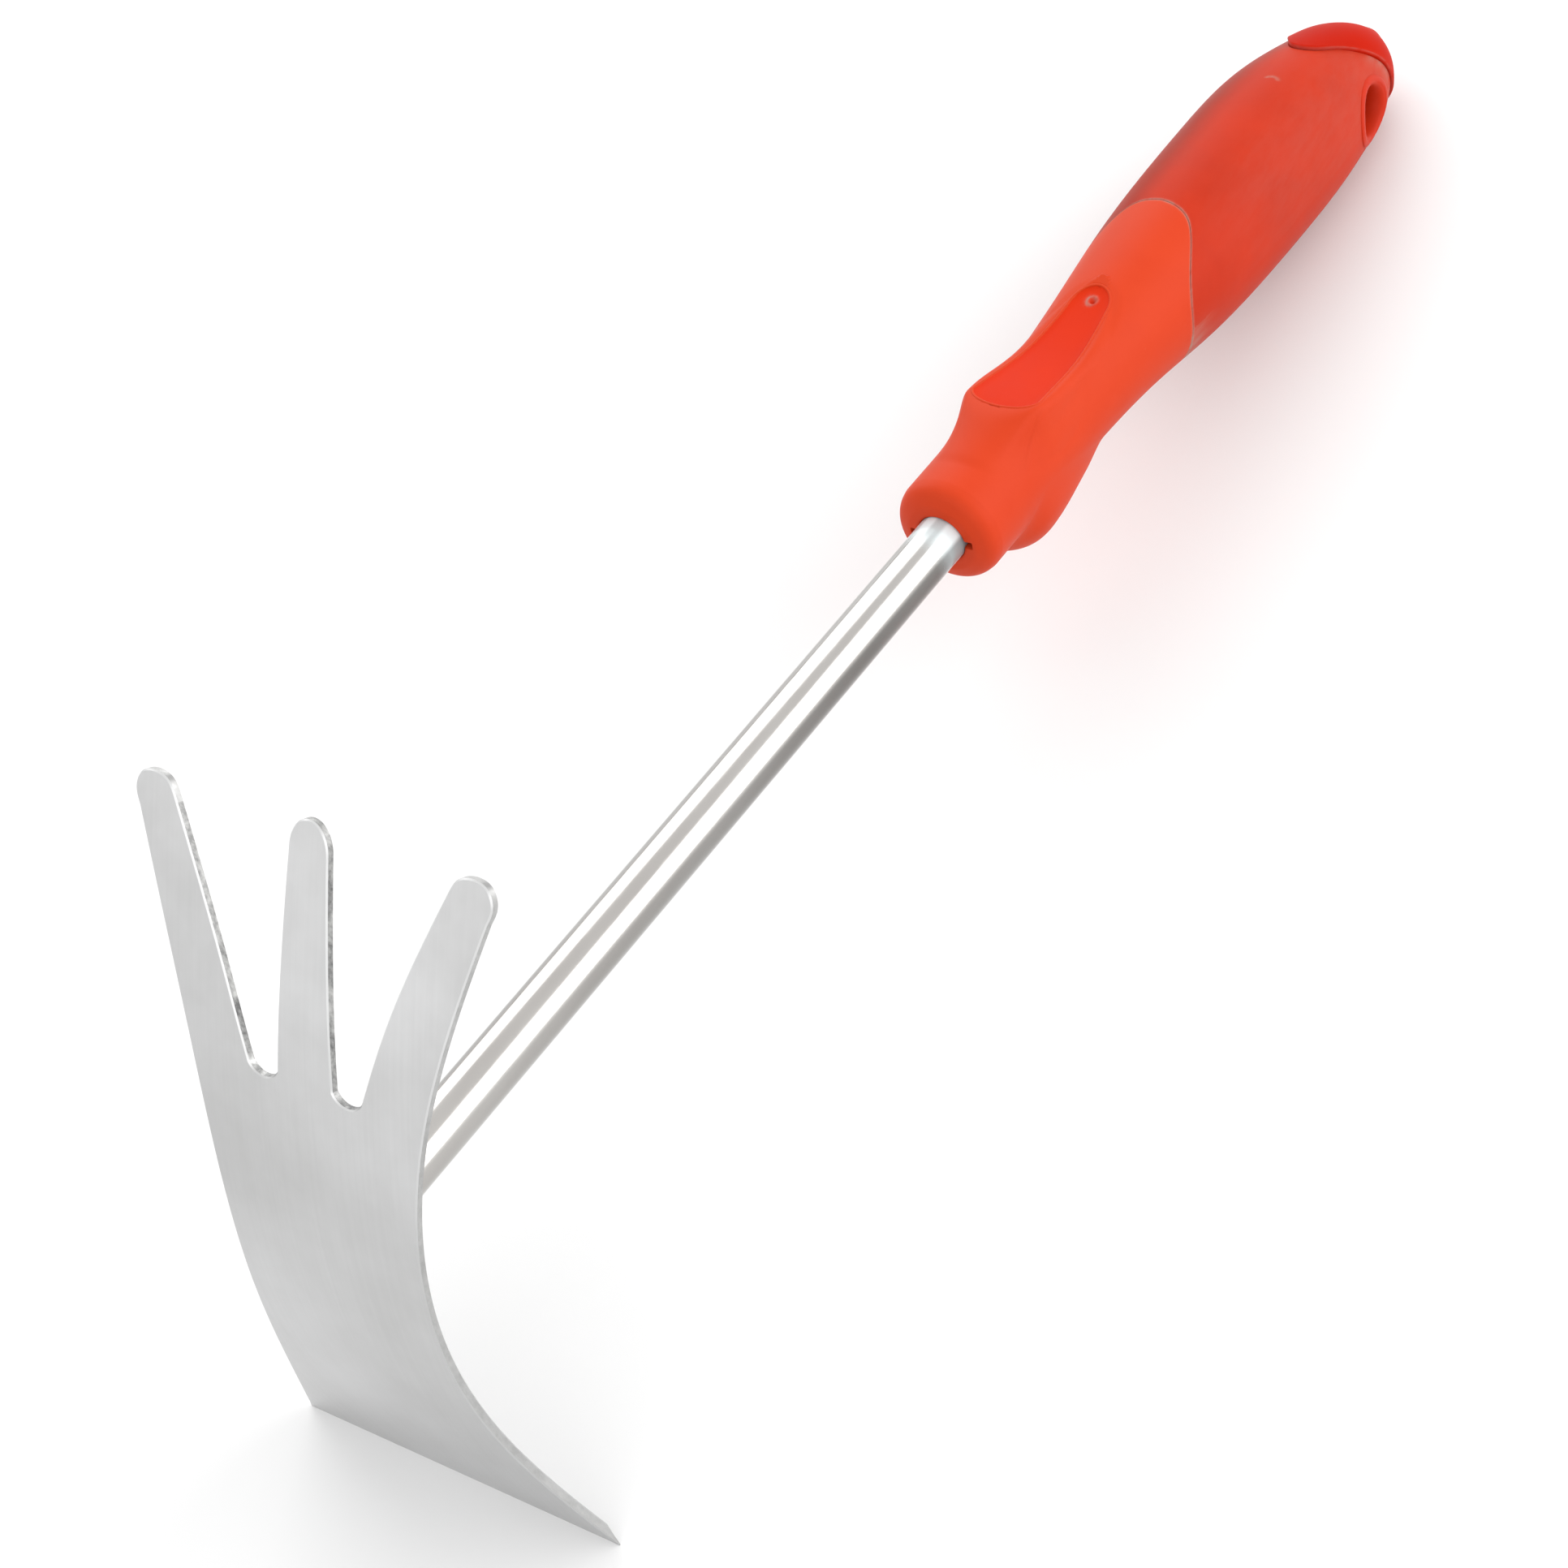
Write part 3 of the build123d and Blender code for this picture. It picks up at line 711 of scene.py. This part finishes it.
def swept(path, radius, sides=10):
    """A thin closed bead along a closed path of (x, y, z)."""
    ahead = np.roll(path, -1, axis=0) - np.roll(path, 1, axis=0)
    across = np.cross(ahead, (0, 0, 1))
    across /= np.linalg.norm(across, axis=1)[:, None]
    up = np.cross(across, ahead)
    up /= np.linalg.norm(up, axis=1)[:, None]
    turn = np.linspace(0, 2 * np.pi, sides, endpoint=False)
    cos, sin = np.cos(turn)[:, None], np.sin(turn)[:, None]
    rings = path[:, None] + radius * (across[:, None] * cos + up[:, None] * sin)
    return rings.reshape(-1, 3), ring_faces(len(path), sides, True)


def pad_outline():
    """Closed, anticlockwise from its front."""
    share = (1 - np.cos(np.linspace(0, np.pi, 150))) / 2
    x = PAD_X[0] + (PAD_X[-1] - PAD_X[0]) * share
    half = pad_half_width(x)
    return np.concatenate([np.c_[x, -half], np.c_[x, half][-2:0:-1]])


def make_front_grip():
    theta = columns()
    profile = spline(COLLAR, 60)
    rows = [around(MOUTH_END_X, COLLAR[0][1], theta)]
    for x, radius in profile[:-1]:
        in_slot = (smoothstep(KEYWAY_HALF_H, KEYWAY_HALF_H - 0.3, np.abs(radius * np.sin(theta)))
                   * smoothstep(KEYWAY_REACH, KEYWAY_REACH - 0.4, radius))
        rows.append(around(x + KEYWAY_DEPTH * in_slot, radius, theta))
    seam = seam_x(theta)
    for share in np.r_[np.linspace(0, 0.99, 172), np.linspace(0.99, 1, 10)[1:]]:
        x = COLLAR_END_X + (seam - COLLAR_END_X) * share
        radius = outer_radius(x, theta)
        in_pad = pad_half_width(x) - np.abs(radius * np.cos(theta))
        pocket = POCKET_DEPTH * smoothstep(0.4, 0.7, in_pad) * (np.sin(theta) > 0)
        rows.append(around(x, radius - rolled(seam - x, 0.35) - pocket, theta))
    rows.append(around(seam - 0.1, outer_radius(seam, theta) - GRIP_WALL, theta))
    for share in np.linspace(1, 0, 12):
        x = MOUTH_END_X + 0.2 + (seam - 0.4 - MOUTH_END_X - 0.2) * share
        rows.append(around(x, np.minimum(outer_radius(x, theta) - GRIP_WALL - 0.1, GRIP_BORE_R), theta))
    shell = np.concatenate(rows)
    outline = pad_outline()
    lip, lip_faces = swept(np.c_[outline, ramp_level(*outline.T) - 0.14], 0.34)
    faces = ring_faces(len(rows), len(theta), True) + [tuple(len(shell) + i for i in f) for f in lip_faces]
    piece = piece_from("front_grip_shell", np.concatenate([shell, lip]), faces, grip_plastic,
                       ["front_grip"])
    dust(piece, lambda x, angle: 0.7 * np.exp(-((seam_x(angle) - x) / 0.45) ** 2) * (x > 80))
    sharpen(piece, 45)


def make_thumb_pad():
    """Let in within the front grip's lip, a little sunk, with its moulding gate's pit near the back."""
    outline = pad_outline()
    step = np.arange(-2.4, 2.5, 0.2)
    extra = np.array([(GATE_MARK[0] + a, GATE_MARK[1] + b)
                      for a in step for b in step if a * a + b * b < 5.8])
    flat, triangles, border = filled(outline, 0.8, extra)
    x, y = flat.T
    inwards = np.clip(pad_half_width(x) - np.abs(y), 0, None)
    from_gate = np.hypot(x - GATE_MARK[0], y - GATE_MARK[1])
    mark = 0.3 * np.exp(-((from_gate - 1.15) / 0.35) ** 2) - 0.75 * np.exp(-(from_gate / 0.75) ** 2)
    level = ramp_level(x, y)
    top = level - 0.28 * smoothstep(0, 1.5, inwards) + mark
    points = np.concatenate([np.c_[x, y, top], np.c_[x, y, level - PAD_T]])
    size = len(flat)
    faces = [tuple(t) for t in triangles] + [tuple(size + i for i in reversed(t)) for t in triangles]
    faces += [(j, i, size + i, size + j) for i, j in border]
    piece = piece_from("thumb_pad_soft", points, faces, pad_rubber, ["thumb_pad"])

    def gate_dust(x, angle):
        from_mark = np.hypot(x - GATE_MARK[0], 15 * (np.pi / 2 - angle))
        return 0.7 * np.exp(-((from_mark - 1.2) / 0.5) ** 2)

    dust(piece, gate_dust)
    sharpen(piece, 60)


def make_gel_grip():
    theta = np.radians(np.arange(-90, 270, 1.0))
    start, end = seam_x(theta) + 0.02, cap_x(theta) - 0.1
    rows = []
    shares = np.r_[np.linspace(0, 0.012, 8), np.linspace(0.012, 0.988, 210)[1:-1], np.linspace(0.988, 1, 8)]
    for share in shares:
        x = start + (end - start) * share
        roll = rolled(x - start, 0.3) + rolled(end - x, 0.4)
        rows.append(around(x, outer_radius(x, theta) - roll, theta))
    for share in np.linspace(1, 0, 24):
        x = start + 0.4 + (end - start - 0.8) * share
        rows.append(around(x, outer_radius(x, theta) - GEL_WALL, theta))
    piece = piece_from("gel_grip_sleeve", np.concatenate(rows), ring_faces(len(rows), len(theta), True),
                       gel_rubber, ["gel_grip"])
    cut_for_ring(piece)

    def haze(x, angle):
        """The dust line along the seam and its smear, a band by the cap, a thin film, and the scuff."""
        degrees = np.degrees(angle)
        low_side = smoothstep(12, -25, degrees) + smoothstep(168, 205, degrees + 360 * (degrees < 0))
        sides = np.abs(degrees - 90)
        by_seam = x - seam_x(angle)
        by_cap = cap_x(angle) - x
        line = 0.7 * np.exp(-(by_seam / 0.45) ** 2)
        smear = 0.25 * np.exp(-(by_seam / 6) ** 2) * low_side
        band = 0.45 * np.exp(-(by_cap / 3.0) ** 2) * smoothstep(45, 58, sides) * smoothstep(96, 84, sides)
        near_side = smoothstep(90, 140, degrees) * smoothstep(200, 160, degrees)
        haze_and_painted_reflection = 0.01 + 0.06 * near_side * smoothstep(95, 140, x)
        from_scuff = np.hypot(x - SCUFF[0], 0.33 * (degrees - SCUFF[1]))
        scuff = 0.5 * np.exp(-((from_scuff - 1.5) / 0.45) ** 2) * smoothstep(0.0, 0.8, x - SCUFF[0])
        return line + smear + band + haze_and_painted_reflection + scuff

    def painted_shade(x, angle):
        """Painted shade: a soft darker band along the far shoulder."""
        degrees = np.degrees(angle)
        return 0.38 * smoothstep(86, 60, degrees) * smoothstep(-10, 50, degrees) * smoothstep(80, 105, x)

    store(piece, "painted_shade", painted_shade)
    dust(piece, haze)


def ring_flank(x, z):
    """How far out the handle's round body is over a point of its side view."""
    body, rise = body_at(x)
    return np.sqrt(np.clip(body ** 2 - (z - rise) ** 2, 0, None))


def cut_for_ring(piece):
    """Opens a piece where the hang ring passes through it."""
    turn = np.linspace(0, 2 * np.pi, 120, endpoint=False)
    half = np.array(RING_HALF) - 0.45
    oval = [np.c_[HOLE_X + half[0] * np.cos(turn), np.full(120, y), half[1] * np.sin(turn)]
            for y in (-FAR, FAR)]
    cutter_mesh = bpy.data.meshes.new("ring_cutter")
    ends = [tuple(range(119, -1, -1)), tuple(range(120, 240))]
    cutter_mesh.from_pydata(place(np.concatenate(oval)).tolist(), [], ring_faces(2, 120) + ends)
    face_outwards(cutter_mesh)
    cutter = bpy.data.objects.new("ring_cutter", cutter_mesh)
    bpy.context.scene.collection.objects.link(cutter)
    boolean = piece.modifiers.new("ring_opening", "BOOLEAN")
    boolean.operation = "DIFFERENCE"
    boolean.solver = "EXACT"
    boolean.object = cutter
    bpy.context.view_layer.update()
    opened = bpy.data.meshes.new_from_object(piece.evaluated_get(bpy.context.evaluated_depsgraph_get()))
    piece.modifiers.clear()
    piece.data = opened
    bpy.data.objects.remove(cutter)
    bpy.data.meshes.remove(cutter_mesh)
    opened.shade_smooth()
    sharpen(piece, 50)


def make_hang_ring():
    """A proud rim on each flank, a flare in to the round bore, and the bore between them."""
    turn = np.linspace(0, 2 * np.pi, 144, endpoint=False)
    cos, sin = np.cos(turn), np.sin(turn)
    outline, mouth = np.array(RING_HALF), np.array(RING_MOUTH_HALF)
    rim = spline([(0, -2.4), (0, -0.2), (0.12, 0.3), (0.35, 0.42), (0.75, 0.38), (1.0, 0.1)], 26)
    half_rows = []
    for share, height in rim:
        half = outline + (mouth - outline) * share
        x, z = HOLE_X + half[0] * cos, half[1] * sin
        half_rows.append((x, ring_flank(x, z) + height, z))
    x0, y0, z0 = half_rows[-1]
    for quarter in np.linspace(0, np.pi / 2, 22)[1:]:
        inward, down = np.sin(quarter), 1 - np.cos(quarter)
        half_rows.append((x0 + (HOLE_X + HANG_R * cos - x0) * inward, y0 + (FLARE_END_Y - y0) * down,
                          z0 + (HANG_R * sin - z0) * inward))
    bore = [(HOLE_X + HANG_R * cos, np.full(144, y), HANG_R * sin) for y in np.linspace(6, 0, 5)]
    half_rows += bore
    rows = [np.c_[row] for row in half_rows] + [np.c_[x, -y, z] for x, y, z in half_rows[-2::-1]]
    piece = piece_from("hang_ring_rimmed", np.concatenate(rows), ring_faces(len(rows), 144, True),
                       ring_plastic, ["hang_ring"])
    sharpen(piece, 50)


def make_end_cap():
    """A shell over the butt: its proud, rounded outside, then its hollow inside."""
    theta = np.radians(np.arange(-90, 270, 1.0))
    start = cap_x(theta)
    border = np.interp(start, body_curve[:, 0], body_run)

    def body_ring(share):
        at = border + (1 - border) * share
        return (np.interp(at, body_run, body_curve[:, i]) for i in range(3))

    rows = []
    for share in np.r_[np.linspace(0, 0.05, 10), np.linspace(0.05, 0.997, 70)[1:]]:
        x, radius, rise = body_ring(share)
        proud = CAP_PROUD * smoothstep(1.0, 0.2, share) * smoothstep(0, 0.02, 1 - share)
        rows.append(around(x, radius + proud - rolled(x - start, 1.0), theta) + np.c_[0 * x, 0 * x, rise])
    for share in np.linspace(0.98, 0.03, 20):
        x, radius, rise = body_ring(share)
        ring = around(x - CAP_WALL * share, np.clip(radius - CAP_WALL, 0.3, None), theta)
        rows.append(ring + np.c_[0 * x, 0 * x, rise])
    piece = piece_from("end_cap_shell", np.concatenate(rows), ring_faces(len(rows), len(theta), True),
                       cap_plastic, ["end_cap"])
    dust(piece, lambda x, angle: 0.2 * np.exp(-((x - cap_x(angle)) / 0.4) ** 2) * (x < 205))


make_head_plate()
make_shaft()
make_weld()
make_front_grip()
make_thumb_pad()
make_gel_grip()
make_hang_ring()
make_end_cap()
core = frame["nodes"]["handle_core"]
core.data.materials.clear()
core.data.materials.append(core_plastic)


# ---- floor, light and camera ------------------------------------------------------------------------------
FLOOR_HALF = 8.0                # metres


def make_floor():
    mesh = bpy.data.meshes.new("floor")
    corners = [(x * FLOOR_HALF, y * FLOOR_HALF, 0) for x, y in ((-1, -1), (1, -1), (1, 1), (-1, 1))]
    mesh.from_pydata(corners, [], [(0, 1, 2, 3)])
    floor = bpy.data.objects.new("floor", mesh)
    bpy.context.scene.collection.objects.link(floor)
    material, _, _, shader, _ = new_material("pale_floor")
    shader.inputs["Base Color"].default_value = (0.74, 0.74, 0.74, 1)
    shader.inputs["Roughness"].default_value = 0.9
    mesh.materials.append(material)


def area_light(name, where, towards, size, power):
    """A rectangular softbox, in metres and watts."""
    light = bpy.data.lights.new(name, "AREA")
    light.shape = "RECTANGLE"
    light.size, light.size_y = size
    light.energy = power
    lamp = bpy.data.objects.new(name, light)
    bpy.context.scene.collection.objects.link(lamp)
    lamp.location = where
    lamp.rotation_euler = (Vector(towards) - Vector(where)).to_track_quat("-Z", "Y").to_euler()


CAMERA_AT = (-508.5, -413.0, 519.6)     # in the tool's frame, as are the angles
CAMERA_AZIMUTH = math.radians(43.49)
CAMERA_DROP = math.radians(41.63)
CAMERA_ROLL = math.radians(15.0)
FOCAL = 83.85


def make_camera():
    camera = bpy.data.objects.new("camera", bpy.data.cameras.new("camera"))
    bpy.context.scene.collection.objects.link(camera)
    level = math.cos(CAMERA_DROP)
    ahead = Vector((level * math.cos(CAMERA_AZIMUTH), level * math.sin(CAMERA_AZIMUTH), -math.sin(CAMERA_DROP)))
    right = Vector((math.sin(CAMERA_AZIMUTH), -math.cos(CAMERA_AZIMUTH), 0))
    right = Matrix.Rotation(CAMERA_ROLL, 3, ahead) @ right
    up = right.cross(ahead)
    turn = Matrix((right, up, -ahead)).transposed().to_4x4()
    camera.matrix_world = TOOL @ Matrix.Translation(Vector(CAMERA_AT) * MM) @ turn
    camera.data.sensor_width = 36
    camera.data.lens = FOCAL
    camera.data.clip_end = 30
    bpy.context.scene.camera = camera


def make_world():
    """Even soft light all round, a little darker low down and straight above."""
    world = bpy.data.worlds.new("studio")
    bpy.context.scene.world = world
    world.use_nodes = True
    nodes, links = world.node_tree.nodes, world.node_tree.links
    where = nodes.new("ShaderNodeTexCoord").outputs["Generated"]
    split = nodes.new("ShaderNodeSeparateXYZ")
    links.new(where, split.inputs[0])
    level = grey_ramp(nodes, links, split.outputs["Z"], [(0.0, 0.55), (0.14, 0.62), (0.4, 0.85), (1.0, 0.74)])
    links.new(level, nodes["Background"].inputs["Color"])
    nodes["Background"].inputs["Strength"].default_value = 1.35


make_floor()
area_light("left_softbox", (0.72, 0.82, 0.66), (0, 0, 0.1), (1.5, 0.95), 8.5)
area_light("front_softbox", (-1.5, -0.5, 1.0), (0, 0, 0.05), (2.2, 1.6), 8)
area_light("right_softbox", (0.62, -1.09, 0.44), (0, 0, 0.1), (1.6, 1.3), 15)
make_world()
bpy.context.scene.view_settings.view_transform = "Standard"
make_camera()
